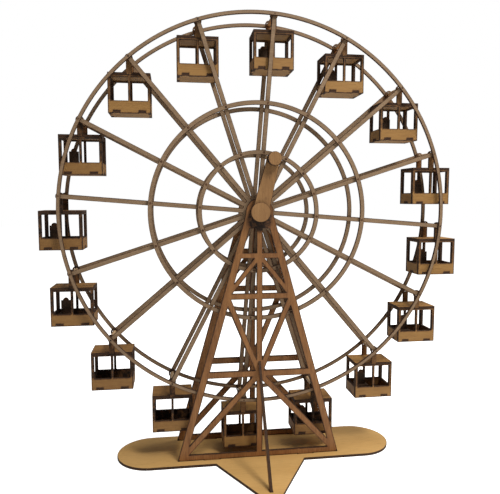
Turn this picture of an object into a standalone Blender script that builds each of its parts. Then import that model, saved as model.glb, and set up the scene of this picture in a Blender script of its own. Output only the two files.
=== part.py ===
"""Ferris wheel model cut from thin plywood sheet and standing on a flat base.

Metres, +Z up. +X runs to the right seen from the crank side, and -Y points from the wheel
towards the crank. The origin lies on the underside of the base, straight below the axle.
The wheel turns about the axle, and every cabin hangs level from its own rod between the rims.
"""

from math import acos, asin, atan2, cos, hypot, pi, radians, sin, sqrt

import bmesh
import bpy
from mathutils import Matrix, Vector

MM = 0.001
SEAT_GAP = 0.3 * MM
WELD = 0.005 * MM

# Sheet and sizes that drive the rest
SHEET = 3.0 * MM
RIM_RADIUS = 240.1 * MM
SPOKE_COUNT = 16
WHEEL_PHASE = radians(-4.6)
AXLE_HEIGHT = 313.0 * MM
SPOKE_OFFSET = 22.0 * MM
RING_OFFSET = SPOKE_OFFSET + SHEET + SEAT_GAP
TOWER_OFFSET = 30.0 * MM

# Wheel sides: three rings laid on the outer face of sixteen spokes
RIM_WIDTH = 4.2 * MM
RING_WIDTH = 5.2 * MM
SPOKE_WIDTH = 5.3 * MM
SPOKE_REACH = 239.8 * MM
MIDDLE_RADIUS = 134.8 * MM
INNER_RADIUS = 75.3 * MM
HUB_RADIUS = 20.0 * MM
RIM_SIDES = 96
MIDDLE_SIDES = 64
INNER_SIDES = 48

# Rods between the rims: a thick middle with a thin pin at each end
ROD_CIRCLE = RIM_RADIUS - RIM_WIDTH / 2
ROD_RADIUS = 2.4 * MM
ROD_PIN = 1.2 * MM
PIN_HOLE = 1.65 * MM
ROD_SIDES = 12
HOLE_SIDES = 8

# Axle and crank
AXLE_RADIUS = 4.0 * MM
AXLE_RUN = 0.5 * MM
AXLE_SIDES = 16
CAP_RADIUS = 12.0 * MM
CRANK_LENGTH = 66.0 * MM
CRANK_ANGLE = radians(76.0)
CRANK_HUB = 10.0 * MM
CRANK_END = 8.0 * MM
KNOB_RADIUS = 8.3 * MM
KNOB_LENGTH = 9.0 * MM
ROUND_STEPS = 32

# Towers
HEAD_RADIUS = 17.0 * MM
LEG_TOP_X = 16.2 * MM
LEG_SPREAD = 0.279
LEG_WIDTH = 9.0 * MM
POST_WIDTH = 7.2 * MM
CROSSBAR_DROPS = (53.5 * MM, 104.0 * MM, 202.0 * MM)
CROSSBAR_WIDTHS = (6.8 * MM, 7.4 * MM, 8.0 * MM)
FOOT_BAR = 7.0 * MM
BRACE_WIDTHS = (5.8 * MM, 7.0 * MM, 7.5 * MM)
TAB_X = 60.0 * MM
TAB_WIDTH = 20.0 * MM
TAB_LIFT = 0.2 * MM

# Base
BASE_HALF = 179.0 * MM
BASE_DEPTH = 43.0 * MM
TONGUE_HALF = 56.0 * MM
TONGUE_TIP = 146.0 * MM

# Front strut between the tower and the tongue
STRUT_TOP = 127.0 * MM
STRUT_FOOT = 118.0 * MM
STRUT_WIDTH = 7.0 * MM
STRUT_TAB = 6.0 * MM

# Cabins
CABIN_WIDTH = 50.0 * MM
CABIN_DEPTH = 38.0 * MM
CABIN_HEIGHT = 47.0 * MM
CABIN_DROP = 17.0 * MM
SILL = 14.5 * MM
FRONT_POST = 3.6 * MM
SIDE_POST = 5.5 * MM
MULLION = 2.8 * MM
HEADER = 1.8 * MM

# Cabin ears round the rod
EAR_EYE = 4.7 * MM
EAR_NECK = 6.6 * MM
EAR_HOLE = 2.95 * MM
EAR_ROOT = 1.0 * MM
EYE_STEPS = 8

# Chair in the cabins that show a dark shape
SEATED_CABINS = (1, 2, 3, 4, 5, 8, 9, 10, 14, 15, 16)
SEAT_X = -10.5 * MM
SEAT_HEIGHT = 13.0 * MM
SEAT_WIDTH = 16.0 * MM
SEAT_DEPTH = 18.0 * MM
BACK_WIDTH = 11.0 * MM
BACK_HEIGHT = 29.0 * MM
BACK_FOOT = 1.0 * MM
CREST = 3.4 * MM

FACE_BROWN = (0.42, 0.24, 0.11, 1.0)
BASE_TAN = (0.62, 0.42, 0.20, 1.0)
ROD_PALE = (0.66, 0.47, 0.27, 1.0)
DARK_BROWN = (0.30, 0.16, 0.07, 1.0)

FRONTAL = Matrix.Rotation(pi / 2, 4, "X")
SIDEWAYS = Matrix.Rotation(pi / 2, 4, "Z") @ FRONTAL


def clear_scene():
    """Remove every object, so the script can run again from the text editor."""
    for obj in list(bpy.data.objects):
        bpy.data.objects.remove(obj, do_unlink=True)


def collection(name):
    """Return a new collection in the scene."""
    group = bpy.data.collections.new(name)
    bpy.context.scene.collection.children.link(group)
    return group


def wood(name, color, roughness):
    """Return a plain wood material."""
    material = bpy.data.materials.new(name)
    material.use_nodes = True
    shader = material.node_tree.nodes["Principled BSDF"]
    shader.inputs["Base Color"].default_value = color
    shader.inputs["Roughness"].default_value = roughness
    shader.inputs["Metallic"].default_value = 0.0
    return material


def arc(radius, start, end, steps, center=(0.0, 0.0)):
    """Return points on a circle from one angle to another, ends included."""
    angles = [start + (end - start) * i / steps for i in range(steps + 1)]
    return [(center[0] + radius * cos(a), center[1] + radius * sin(a)) for a in angles]


def circle(radius, steps, center=(0.0, 0.0)):
    """Return the points of a full circle, each point once."""
    return arc(radius, 0.0, 2 * pi, steps, center)[:-1]


def rectangle(x_low, x_high, y_low, y_high):
    """Return the corners of a rectangle."""
    return [(x_low, y_low), (x_high, y_low), (x_high, y_high), (x_low, y_high)]


def plate_mesh(name, outlines, thickness):
    """Fill flat outlines, leave the inner ones open, and give them a thickness."""
    curve = bpy.data.curves.new(name, "CURVE")
    curve.dimensions = "2D"
    curve.fill_mode = "BOTH"
    curve.extrude = thickness / 2
    for outline in outlines:
        spline = curve.splines.new("POLY")
        spline.points.add(len(outline) - 1)
        for point, (x, y) in zip(spline.points, outline):
            point.co = (x, y, 0.0, 1.0)
        spline.use_cyclic_u = True
    source = bpy.data.objects.new(name + "_outline", curve)
    bpy.context.scene.collection.objects.link(source)
    evaluated = source.evaluated_get(bpy.context.evaluated_depsgraph_get())
    mesh = bpy.data.meshes.new_from_object(evaluated)
    bpy.data.objects.remove(source, do_unlink=True)
    weld(mesh)
    mesh.name = name
    return mesh


def weld(mesh):
    """Join the caps to the walls and point all faces outwards."""
    shape = bmesh.new()
    shape.from_mesh(mesh)
    bmesh.ops.remove_doubles(shape, verts=shape.verts, dist=WELD)
    bmesh.ops.recalc_face_normals(shape, faces=shape.faces)
    if shape.calc_volume(signed=True) < 0.0:
        bmesh.ops.reverse_faces(shape, faces=shape.faces)
    shape.to_mesh(mesh)
    shape.free()


def add_node(name, mesh, material, group, matrix):
    """Add one named sub-part with its own copy of the material slot."""
    obj = bpy.data.objects.new(name, mesh)
    if not mesh.materials:
        mesh.materials.append(material)
    obj.matrix_world = matrix
    group.objects.link(obj)
    return obj


def ride(obj, parent):
    """Parent an object to an empty and keep its place."""
    obj.parent = parent
    obj.matrix_parent_inverse = parent.matrix_world.inverted()


def joint_empty(name, location, group):
    """Return an empty that marks a joint's axis."""
    empty = bpy.data.objects.new(name, None)
    empty.location = location
    empty.empty_display_size = 0.02
    group.objects.link(empty)
    bpy.context.view_layer.update()
    return empty


# Wheel sides

def spoke_angle(index):
    """Return the angle of a spoke above +X."""
    return WHEEL_PHASE + 2 * pi * index / SPOKE_COUNT


def pin_holes():
    """List the holes that take the rods' pins, one on every spoke."""
    holes = []
    for index in range(SPOKE_COUNT):
        angle = spoke_angle(index)
        center = (ROD_CIRCLE * cos(angle), ROD_CIRCLE * sin(angle))
        holes.append(circle(PIN_HOLE, HOLE_SIDES, center))
    return holes


def star_outline():
    """Outline the spokes and the hub disc that they grow from."""
    half = SPOKE_WIDTH / 2
    root = sqrt(HUB_RADIUS ** 2 - half ** 2)
    outline = []
    for index in range(SPOKE_COUNT):
        angle = spoke_angle(index)
        for along, across in ((root, -half), (SPOKE_REACH, -half), (SPOKE_REACH, half), (root, half)):
            x = along * cos(angle) - across * sin(angle)
            y = along * sin(angle) + across * cos(angle)
            outline.append((x, y))
    return outline


def ring_mesh(name, radius, width, sides, holes):
    """Cut one ring, turned so that a corner lies on the first spoke."""
    outer = arc(radius, WHEEL_PHASE, WHEEL_PHASE + 2 * pi, sides)[:-1]
    inner = arc(radius - width, WHEEL_PHASE, WHEEL_PHASE + 2 * pi, sides)[:-1]
    return plate_mesh(name, [outer, inner] + holes, SHEET)


def add_wheel_sides(group, material, hub):
    """Place the spokes of both sides and lay three rings on each."""
    bore = circle(AXLE_RADIUS + SEAT_GAP, ROUND_STEPS)
    spokes = plate_mesh("spokes", [star_outline(), bore] + pin_holes(), SHEET)
    rim = ring_mesh("rim", RIM_RADIUS, RIM_WIDTH, RIM_SIDES, pin_holes())
    middle = ring_mesh("middle_ring", MIDDLE_RADIUS, RING_WIDTH, MIDDLE_SIDES, [])
    inner = ring_mesh("inner_ring", INNER_RADIUS, RING_WIDTH, INNER_SIDES, [])
    layers = (
        ("spokes", spokes, SPOKE_OFFSET),
        ("rim", rim, RING_OFFSET),
        ("middle_ring", middle, RING_OFFSET),
        ("inner_ring", inner, RING_OFFSET),
    )
    for end, side in (("front", -1), ("back", 1)):
        for name, mesh, offset in layers:
            place = Matrix.Translation((0.0, side * offset, AXLE_HEIGHT))
            ride(add_node(f"{name}_{end}", mesh, material, group, place @ FRONTAL), hub)


# Axle and crank

def disc_stack():
    """Return where each layer outside the front tower begins, measured from the wheel's middle."""
    washer = TOWER_OFFSET + SHEET / 2 + SEAT_GAP
    arm = washer + SHEET + SEAT_GAP
    cap = arm + SHEET + SEAT_GAP
    return washer, arm, cap


def crank_outline():
    """Outline the crank arm: two round ends joined by straight sides."""
    turn = asin((CRANK_HUB - CRANK_END) / CRANK_LENGTH)
    start = pi / 2 - turn
    hub_end = arc(CRANK_HUB, start, 2 * pi - start, ROUND_STEPS // 2)
    far_end = arc(CRANK_END, -start, start, ROUND_STEPS // 2, (CRANK_LENGTH, 0.0))
    return hub_end + far_end


def add_axle_and_crank(group, material, dark, hub):
    """Place the axle, its collars and caps, and the crank with its knob."""
    washer, arm, cap = disc_stack()
    bore = circle(AXLE_RADIUS + SEAT_GAP, AXLE_SIDES)
    bored = plate_mesh("collar", [circle(CAP_RADIUS, ROUND_STEPS), bore], SHEET)
    solid = plate_mesh("cap", [circle(CAP_RADIUS, ROUND_STEPS)], SHEET)
    crank = plate_mesh("crank_arm", [crank_outline(), bore], SHEET)
    knob = plate_mesh("crank_knob", [circle(KNOB_RADIUS, ROUND_STEPS)], KNOB_LENGTH)

    front_end = -(cap - SEAT_GAP)
    back_end = arm - SEAT_GAP
    axle = plate_mesh("axle", [circle(AXLE_RADIUS, AXLE_SIDES)], back_end - front_end)
    half = SHEET / 2
    layers = (
        ("axle", axle, dark, (front_end + back_end) / 2),
        ("collar_front", bored, material, -(washer + half)),
        ("collar_back", bored, material, washer + half),
        ("axle_cap_front", solid, material, -(cap + half)),
        ("axle_cap_back", solid, material, arm + half),
    )
    for name, mesh, finish, y in layers:
        place = Matrix.Translation((0.0, y, AXLE_HEIGHT))
        ride(add_node(name, mesh, finish, group, place @ FRONTAL), hub)

    swing = Matrix.Rotation(CRANK_ANGLE, 4, "Z")
    arm_place = Matrix.Translation((0.0, -(arm + half), AXLE_HEIGHT)) @ FRONTAL @ swing
    ride(add_node("crank_arm", crank, material, group, arm_place), hub)
    knob_x = CRANK_LENGTH * cos(CRANK_ANGLE)
    knob_z = AXLE_HEIGHT + CRANK_LENGTH * sin(CRANK_ANGLE)
    knob_place = Matrix.Translation((knob_x, -(cap + KNOB_LENGTH / 2), knob_z)) @ FRONTAL
    ride(add_node("crank_knob", knob, material, group, knob_place), hub)


# Towers

def edge_towards(bar, inside):
    """Return a bar's edge that faces a point, as a point on it and its direction."""
    start, end, width = bar
    direction = (Vector(end) - Vector(start)).normalized()
    normal = Vector((-direction.y, direction.x))
    side = 1.0 if normal.dot(Vector(inside) - Vector(start)) > 0 else -1.0
    return Vector(start) + normal * side * width / 2, direction


def crossing(first, second):
    """Return the point where two lines meet, each a point and a direction."""
    (p, d), (q, e) = first, second
    along = (q - p).cross(e) / d.cross(e)
    meet = p + d * along
    return (meet.x, meet.y)


def pane(inside, bars):
    """Outline the opening that bars leave around a point, taking them in order round it."""
    edges = [edge_towards(bar, inside) for bar in bars]
    return [crossing(edges[i - 1], edge) for i, edge in enumerate(edges)]


def leg_x(drop):
    """Return the outer edge of a leg at a drop below the axle."""
    return LEG_TOP_X + LEG_SPREAD * drop


def tower_outline(foot):
    """Outline the A frame: a round head on two spreading legs."""
    lean = atan2(LEG_SPREAD, 1.0)
    reach = LEG_TOP_X * cos(lean)
    start = lean - acos(reach / HEAD_RADIUS)
    head = arc(HEAD_RADIUS, start, pi - start, 20)
    return [(leg_x(foot), -foot)] + head + [(-leg_x(foot), -foot)]


def tower_panes(foot):
    """List the openings of the A frame, right half first and then the mirrored left half."""
    offset = LEG_WIDTH / 2 * hypot(1.0, LEG_SPREAD)
    leg = ((LEG_TOP_X - offset, 0.0), (leg_x(foot) - offset, -foot), LEG_WIDTH)
    post = ((0.0, 0.0), (0.0, -foot), POST_WIDTH)
    bars = [((0.0, -d), (1.0, -d), w) for d, w in zip(CROSSBAR_DROPS, CROSSBAR_WIDTHS)]
    top, middle, low = bars
    sole = ((0.0, -foot + FOOT_BAR / 2), (1.0, -foot + FOOT_BAR / 2), FOOT_BAR)
    brow = ((0.0, -HEAD_RADIUS), (1.0, -HEAD_RADIUS), 2 * SHEET)

    def corner(drop):
        return (leg_x(drop) - offset, -drop)

    d1, d2, d3 = CROSSBAR_DROPS
    upper = ((0.0, -d1), corner(d2), BRACE_WIDTHS[0])
    centre = ((0.0, -d3), corner(d2), BRACE_WIDTHS[1])
    lower = ((0.0, -d3), corner(foot - FOOT_BAR / 2), BRACE_WIDTHS[2])

    def between(share, drop):
        return (share * leg_x(drop), -drop)

    right = [
        pane(between(0.6, (HEAD_RADIUS + d1) / 2), (post, brow, leg, top)),
        pane(between(0.75, 0.7 * d1 + 0.3 * d2), (top, leg, upper)),
        pane(between(0.3, 0.3 * d1 + 0.7 * d2), (post, upper, middle)),
        pane(between(0.3, 0.7 * d2 + 0.3 * d3), (post, middle, centre)),
        pane(between(0.75, 0.3 * d2 + 0.7 * d3), (centre, leg, low)),
        pane(between(0.75, 0.7 * d3 + 0.3 * foot), (low, leg, lower)),
        pane(between(0.3, 0.3 * d3 + 0.7 * foot), (post, lower, sole)),
    ]
    left = [[(-x, y) for x, y in outline] for outline in right]
    return right + left


def tower_mesh():
    """Cut one tower with its axle hole and the two tabs that drop into the base."""
    foot = AXLE_HEIGHT - SHEET - SEAT_GAP
    outline = tower_outline(foot)
    tab_foot = -AXLE_HEIGHT + TAB_LIFT
    for side in (-1, 1):
        near = side * TAB_X - TAB_WIDTH / 2
        far = side * TAB_X + TAB_WIDTH / 2
        outline += [(near, -foot), (near, tab_foot), (far, tab_foot), (far, -foot)]
    hole = circle(AXLE_RADIUS + AXLE_RUN, ROUND_STEPS)
    return plate_mesh("tower", [outline, hole] + tower_panes(foot), SHEET)


def add_towers(group, material):
    """Stand a tower on each side of the wheel."""
    mesh = tower_mesh()
    for name, side in (("tower_front", -1), ("tower_back", 1)):
        place = Matrix.Translation((0.0, side * TOWER_OFFSET, AXLE_HEIGHT))
        add_node(name, mesh, material, group, place @ FRONTAL)


# Base and front strut

def base_outline():
    """Outline the base: a long plate with round ends and a pointed tongue at the front."""
    centre = BASE_HALF - BASE_DEPTH
    right = arc(BASE_DEPTH, -pi / 2, pi / 2, 24, (centre, 0.0))
    left = arc(BASE_DEPTH, pi / 2, 3 * pi / 2, 24, (-centre, 0.0))
    tongue = [(-TONGUE_HALF, -BASE_DEPTH), (0.0, -TONGUE_TIP), (TONGUE_HALF, -BASE_DEPTH)]
    return right + left + tongue


def base_slots():
    """List the slots that take the towers' tabs and the strut's tab."""
    wide = TAB_WIDTH / 2 + SEAT_GAP
    deep = SHEET / 2 + SEAT_GAP
    slots = []
    for x in (-TAB_X, TAB_X):
        for y in (-TOWER_OFFSET, TOWER_OFFSET):
            slots.append(rectangle(x - wide, x + wide, y - deep, y + deep))
    near, far = strut_tab()
    slots.append(rectangle(-deep, deep, near - SEAT_GAP, far + SEAT_GAP))
    return slots


def strut_tab():
    """Return where the strut's tab begins and ends along Y."""
    slope = STRUT_WIDTH / 2 / sin(strut_lean())
    middle = -STRUT_FOOT + slope
    return middle - STRUT_TAB / 2, middle + STRUT_TAB / 2


def strut_lean():
    """Return the strut's angle above the base."""
    run = STRUT_FOOT - (TOWER_OFFSET + SHEET / 2 + SEAT_GAP)
    return atan2(STRUT_TOP - SHEET, run)


def add_base(group, material):
    """Lay the base on the ground."""
    mesh = plate_mesh("base_plate", [base_outline()] + base_slots(), SHEET)
    add_node("base_plate", mesh, material, group, Matrix.Translation((0.0, 0.0, SHEET / 2)))


def add_strut(group, material):
    """Lean the strut from the tongue against the front tower's post."""
    face = -(TOWER_OFFSET + SHEET / 2 + SEAT_GAP)
    floor = SHEET + SEAT_GAP
    lean = strut_lean()
    near, far = strut_tab()
    outline = [
        (face, STRUT_TOP),
        (-STRUT_FOOT, floor),
        (near, floor),
        (near, TAB_LIFT),
        (far, TAB_LIFT),
        (far, floor),
        (-STRUT_FOOT + STRUT_WIDTH / sin(lean), floor),
        (face, STRUT_TOP - STRUT_WIDTH / cos(lean)),
    ]
    mesh = plate_mesh("front_strut", [outline], SHEET)
    add_node("front_strut", mesh, material, group, SIDEWAYS)


# Cabins, modelled round their rod's axis

def box_mesh(name, low, high):
    """Return a box between two corners."""
    shape = bmesh.new()
    size = Vector(high) - Vector(low)
    middle = (Vector(high) + Vector(low)) / 2
    place = Matrix.Translation(middle) @ Matrix.Diagonal((*size, 1.0))
    bmesh.ops.create_cube(shape, size=1.0, matrix=place)
    mesh = bpy.data.meshes.new(name)
    shape.to_mesh(mesh)
    shape.free()
    return mesh


def ear_outlines():
    """Outline the ear that rises from a long wall and carries the cabin on its rod."""
    half = EAR_NECK / 2
    foot = -CABIN_DROP - EAR_ROOT
    start = asin(half / EAR_EYE) - pi / 2
    eye = arc(EAR_EYE, start, pi - start, EYE_STEPS)
    return [[(half, foot)] + eye + [(-half, foot)], circle(EAR_HOLE, HOLE_SIDES)]


def seat_back_outlines(floor):
    """Outline the chair's back: a board with square shoulders and a round crest."""
    half = BACK_WIDTH / 2
    foot = floor - BACK_FOOT
    top = floor + BACK_HEIGHT - CREST
    crest = arc(CREST, 0.0, pi, 8, (SEAT_X, top))
    return [[(SEAT_X - half, foot), (SEAT_X + half, foot), (SEAT_X + half, top)] + crest + [(SEAT_X - half, top)]]


def combine(base, operation, mesh, matrix, cutters):
    """Cut a mesh out of an object or join it on, keeping the guide object hidden."""
    guide = bpy.data.objects.new(mesh.name, mesh)
    guide.matrix_world = matrix
    guide.hide_render = True
    guide.display_type = "WIRE"
    cutters.objects.link(guide)
    step = base.modifiers.new(mesh.name, "BOOLEAN")
    step.operation = operation
    step.object = guide


def cabin_cutters():
    """List the boxes that hollow a cabin and open its windows."""
    half_x = CABIN_WIDTH / 2
    half_y = CABIN_DEPTH / 2
    top = -CABIN_DROP
    foot = top - CABIN_HEIGHT
    past = 2 * SHEET
    inside_x = half_x - SHEET
    inside_y = half_y - SHEET
    cavity = box_mesh("cabin_cavity", (-inside_x, -inside_y, foot + SHEET), (inside_x, inside_y, top - SHEET))
    boxes = [cavity]
    for x_low, x_high in ((-half_x + FRONT_POST, -MULLION / 2), (MULLION / 2, half_x - FRONT_POST)):
        low = (x_low, -half_y - past, foot + SILL)
        boxes.append(box_mesh("long_window", low, (x_high, half_y + past, top - SHEET - HEADER)))
    low = (-half_x - past, -half_y + SIDE_POST, foot + SILL)
    boxes.append(box_mesh("short_window", low, (half_x + past, half_y - SIDE_POST, top - SHEET - HEADER)))
    return boxes


def add_chair(body, floor, cutters):
    """Join a small chair on: a back that stands on the floor and a seat board through it."""
    back = plate_mesh("seat_back", seat_back_outlines(floor), SHEET)
    combine(body, "UNION", back, FRONTAL, cutters)
    top = floor - SHEET + SEAT_HEIGHT
    low = (SEAT_X - SEAT_WIDTH / 2, -SEAT_DEPTH / 2, top - SHEET)
    seat = box_mesh("seat_board", low, (SEAT_X + SEAT_WIDTH / 2, SEAT_DEPTH / 2, top))
    combine(body, "UNION", seat, Matrix.Identity(4), cutters)


def cabin_mesh(cutters, seated):
    """Model one cabin: floor, roof, walls with windows and two ears, with or without a chair."""
    half_x = CABIN_WIDTH / 2
    half_y = CABIN_DEPTH / 2
    top = -CABIN_DROP
    foot = top - CABIN_HEIGHT
    floor = foot + SHEET
    still = Matrix.Identity(4)

    block = box_mesh("cabin_block", (-half_x, -half_y, foot), (half_x, half_y, top))
    body = bpy.data.objects.new("cabin_body", block)
    cutters.objects.link(body)
    for cutter in cabin_cutters():
        combine(body, "DIFFERENCE", cutter, still, cutters)

    ear = plate_mesh("cabin_ear", ear_outlines(), SHEET)
    for side in (-1, 1):
        place = Matrix.Translation((0.0, side * (half_y - SHEET / 2), 0.0)) @ FRONTAL
        combine(body, "UNION", ear, place, cutters)
    if seated:
        add_chair(body, floor, cutters)

    bpy.context.view_layer.update()
    evaluated = body.evaluated_get(bpy.context.evaluated_depsgraph_get())
    mesh = bpy.data.meshes.new_from_object(evaluated)
    bpy.data.objects.remove(body, do_unlink=True)
    mesh.name = "cabin"
    return mesh


def rod_mesh():
    """Turn one rod: its shoulders meet the spokes' inner faces, and its pins end level with the rims."""
    end = RING_OFFSET + SHEET / 2
    shoulder = SPOKE_OFFSET - SHEET / 2 - SEAT_GAP
    profile = (
        (0.0, end),
        (ROD_PIN, end),
        (ROD_PIN, shoulder),
        (ROD_RADIUS, shoulder),
        (ROD_RADIUS, -shoulder),
        (ROD_PIN, -shoulder),
        (ROD_PIN, -end),
        (0.0, -end),
    )
    mesh = bpy.data.meshes.new("rod_profile")
    edges = [(i, i + 1) for i in range(len(profile) - 1)]
    mesh.from_pydata([(x, 0.0, z) for x, z in profile], edges, [])
    turned = bpy.data.objects.new("rod_turned", mesh)
    bpy.context.scene.collection.objects.link(turned)
    screw = turned.modifiers.new("turn", "SCREW")
    screw.steps = ROD_SIDES
    screw.render_steps = ROD_SIDES
    screw.use_merge_vertices = True
    screw.merge_threshold = WELD
    evaluated = turned.evaluated_get(bpy.context.evaluated_depsgraph_get())
    rod = bpy.data.meshes.new_from_object(evaluated)
    bpy.data.objects.remove(turned, do_unlink=True)
    weld(rod)
    rod.name = "rod"
    return rod


def add_cabins(group, cutters, material, pale, hub):
    """Hang a cabin level from a rod at every spoke's end."""
    seated = cabin_mesh(cutters, True)
    empty = cabin_mesh(cutters, False)
    rod = rod_mesh()
    for index in range(SPOKE_COUNT):
        angle = spoke_angle(index)
        place = Vector((ROD_CIRCLE * cos(angle), 0.0, AXLE_HEIGHT + ROD_CIRCLE * sin(angle)))
        number = f"{index + 1:02d}"
        here = Matrix.Translation(place)
        ride(add_node("rod_" + number, rod, pale, group, here @ FRONTAL), hub)
        pivot = joint_empty("cabin_pivot_" + number, place, group)
        ride(pivot, hub)
        cabin = seated if index + 1 in SEATED_CABINS else empty
        ride(add_node("cabin_" + number, cabin, material, group, here), pivot)


def build():
    """Build the whole wheel."""
    clear_scene()
    group = collection("ferris_wheel")
    cutters = collection("cutters")
    brown = wood("plywood_brown", FACE_BROWN, 0.6)
    tan = wood("plywood_tan", BASE_TAN, 0.6)
    dark = wood("plywood_dark", DARK_BROWN, 0.65)
    pale = wood("rod_pale", ROD_PALE, 0.5)
    hub = joint_empty("wheel_axis", (0.0, 0.0, AXLE_HEIGHT), group)
    add_base(group, tan)
    add_towers(group, brown)
    add_strut(group, dark)
    add_wheel_sides(group, brown, hub)
    add_axle_and_crank(group, brown, dark, hub)
    add_cabins(group, cutters, brown, pale, hub)


build()
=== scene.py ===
"""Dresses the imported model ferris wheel: laser-cut plywood with burnt cuts, hung cabins and soft light."""

import logging
import math
from dataclasses import dataclass
from enum import Enum

import bpy
import numpy as np
from mathutils import Matrix, Vector
from mathutils.geometry import delaunay_2d_cdt


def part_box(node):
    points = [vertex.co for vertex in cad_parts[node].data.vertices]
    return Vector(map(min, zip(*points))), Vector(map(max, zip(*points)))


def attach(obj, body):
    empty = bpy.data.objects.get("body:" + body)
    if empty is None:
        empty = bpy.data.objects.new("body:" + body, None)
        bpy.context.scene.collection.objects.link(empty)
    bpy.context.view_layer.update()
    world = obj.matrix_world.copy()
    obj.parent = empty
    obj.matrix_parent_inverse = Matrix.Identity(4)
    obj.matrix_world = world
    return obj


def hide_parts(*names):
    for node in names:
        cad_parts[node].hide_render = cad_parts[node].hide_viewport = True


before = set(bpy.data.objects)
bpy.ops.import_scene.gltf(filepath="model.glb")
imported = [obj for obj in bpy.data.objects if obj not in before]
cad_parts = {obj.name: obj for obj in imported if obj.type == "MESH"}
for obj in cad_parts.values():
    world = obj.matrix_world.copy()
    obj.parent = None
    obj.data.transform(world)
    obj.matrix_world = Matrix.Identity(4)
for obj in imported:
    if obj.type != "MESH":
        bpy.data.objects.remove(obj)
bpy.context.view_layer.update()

LOG = logging.getLogger("ferris_wheel")
Socket = bpy.types.NodeSocket
Color = tuple[float, float, float]
Triple = tuple[float, float, float]
Pair = tuple[float, float]
Box = tuple[float, float, float, float]
Range = tuple[float, float, float, float]

MM = 0.001
NO_CORNER = -1
FACE_PLY = 0.5
SHARP_ANGLE = math.radians(32.0)
WHITE = (1.0, 1.0, 1.0, 1.0)

# Points are rounded to so many decimals of a metre, and heights this close together are one.
DECIMALS = 7
SAME_HEIGHT = 1e-6

# The least that still counts: a squared length, a rise, a slope, a triangle's area and a gap between points.
LEAST_SQUARE = 1e-18
LEAST_RISE = 1e-12
LEAST_SLOPE = 1e-6
LEAST_AREA = 5e-14
LEAST_GAP = 1e-8

# The clean points round a sheet's corner, the share of a halo that they keep, and how often a halo fits in a band.
CORNER_POINTS = 16
CLEAR_SHARE = 0.97
BAND_PARTS = 2.2

# A rounded edge's points, the size of the last ring on an end, and how burnt a rod's pins and shoulders are.
BEND_POINTS = 4
PIN_CORE = 0.5
END_CORE = 0.6
PIN_BURN = 0.9
SHOULDER_BURN = 0.5


class Axis(Enum):
    """The direction that a sheet is thick along, or that fibres run along."""

    X = 0
    Y = 1
    Z = 2

    @property
    def plane(self) -> tuple[int, int]:
        """Return the two other directions, in the order that turns about this one."""
        return (self.value + 1) % 3, (self.value + 2) % 3


class Side(Enum):
    """The two sides of the wheel, by the sign of their Y."""

    FRONT = -1
    BACK = 1

    @property
    def label(self) -> str:
        """Return the side's name as the nodes spell it."""
        return self.name.lower()


# Surfaces

@dataclass
class Surface:
    """A closed surface with its burn marks.

    A face is a row of four corners, and a triangle's last one is NO_CORNER. Burn runs from 0 on a clean
    face to 1 on a cut; on some cabins and inside them it is raised further as painted shade. Ply runs
    from -FACE_PLY to FACE_PLY through the sheet.
    """

    points: np.ndarray
    faces: np.ndarray
    burn: np.ndarray
    ply: np.ndarray

    def outward(self) -> "Surface":
        """Turn the faces outwards, by the sign of the volume that they close.

        Returns:
            The surface itself.
        """
        a, b, c, d = (self.points[self.faces[:, k]] for k in range(4))
        far = np.where(self.faces[:, 3:] == NO_CORNER, c, d)
        volume = np.einsum("ij,ij->", a, np.cross(b, c)) + np.einsum("ij,ij->", a, np.cross(c, far))
        if volume < 0.0:
            self.faces[:, [0, 2]] = self.faces[:, [2, 0]]
        return self

    def scorched(self, where: np.ndarray, least: float) -> "Surface":
        """Raise the burn mark of the marked points to at least so much; this serves for burnt posts and ears, and for
        painted shade inside the cabins.
        """
        self.burn = np.where(where, np.maximum(self.burn, least), self.burn)
        return self

    def painted_shade(self, share: float) -> "Surface":
        """Raise every point's burn mark by a share, which paints shade over the whole surface."""
        self.burn = np.minimum(self.burn + share, 1.0)
        return self

    def above(self, height: float) -> np.ndarray:
        """Mark the points above a height."""
        return self.points[:, Axis.Z.value] > height

    def placed(self, matrix: Matrix) -> "Surface":
        """Return a moved copy.

        Args:
            matrix: A turn and a shift without a mirror.

        Returns:
            The moved surface.
        """
        turn = np.array(matrix.to_3x3())
        points = self.points @ turn.T + np.array(matrix.translation)
        return Surface(points, self.faces.copy(), self.burn, self.ply)

    @staticmethod
    def joined(parts: list["Surface"]) -> "Surface":
        """Gather several surfaces into one.

        Args:
            parts: The surfaces.

        Returns:
            One surface with the points and faces of all.
        """
        starts = np.cumsum([0] + [len(part.points) for part in parts[:-1]])
        faces = [np.where(p.faces == NO_CORNER, NO_CORNER, p.faces + s) for p, s in zip(parts, starts)]
        return Surface(
            np.concatenate([part.points for part in parts]),
            np.concatenate(faces),
            np.concatenate([part.burn for part in parts]),
            np.concatenate([part.ply for part in parts]),
        )

    def mesh(self, name: str) -> bpy.types.Mesh:
        """Return the surface as a mesh with its marks as attributes.

        Args:
            name: The mesh's name.

        Returns:
            The mesh, smooth on curves and sharp at cuts.
        """
        used = self.faces != NO_CORNER
        counts = used.sum(axis=1)
        corners = self.faces[used]
        mesh = bpy.data.meshes.new(name)
        mesh.vertices.add(len(self.points))
        mesh.vertices.foreach_set("co", self.points.astype(np.float32).ravel())
        mesh.loops.add(len(corners))
        mesh.loops.foreach_set("vertex_index", corners.astype(np.int32))
        mesh.polygons.add(len(counts))
        mesh.polygons.foreach_set("loop_start", (np.cumsum(counts) - counts).astype(np.int32))
        mesh.update(calc_edges=True)
        for label, values in (("burn", self.burn), ("ply", self.ply)):
            mark = mesh.attributes.new(label, "FLOAT", "POINT")
            mark.data.foreach_set("value", values.astype(np.float32))
        mesh.shade_smooth()
        mesh.set_sharp_from_angle(angle=SHARP_ANGLE)
        return mesh


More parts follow.
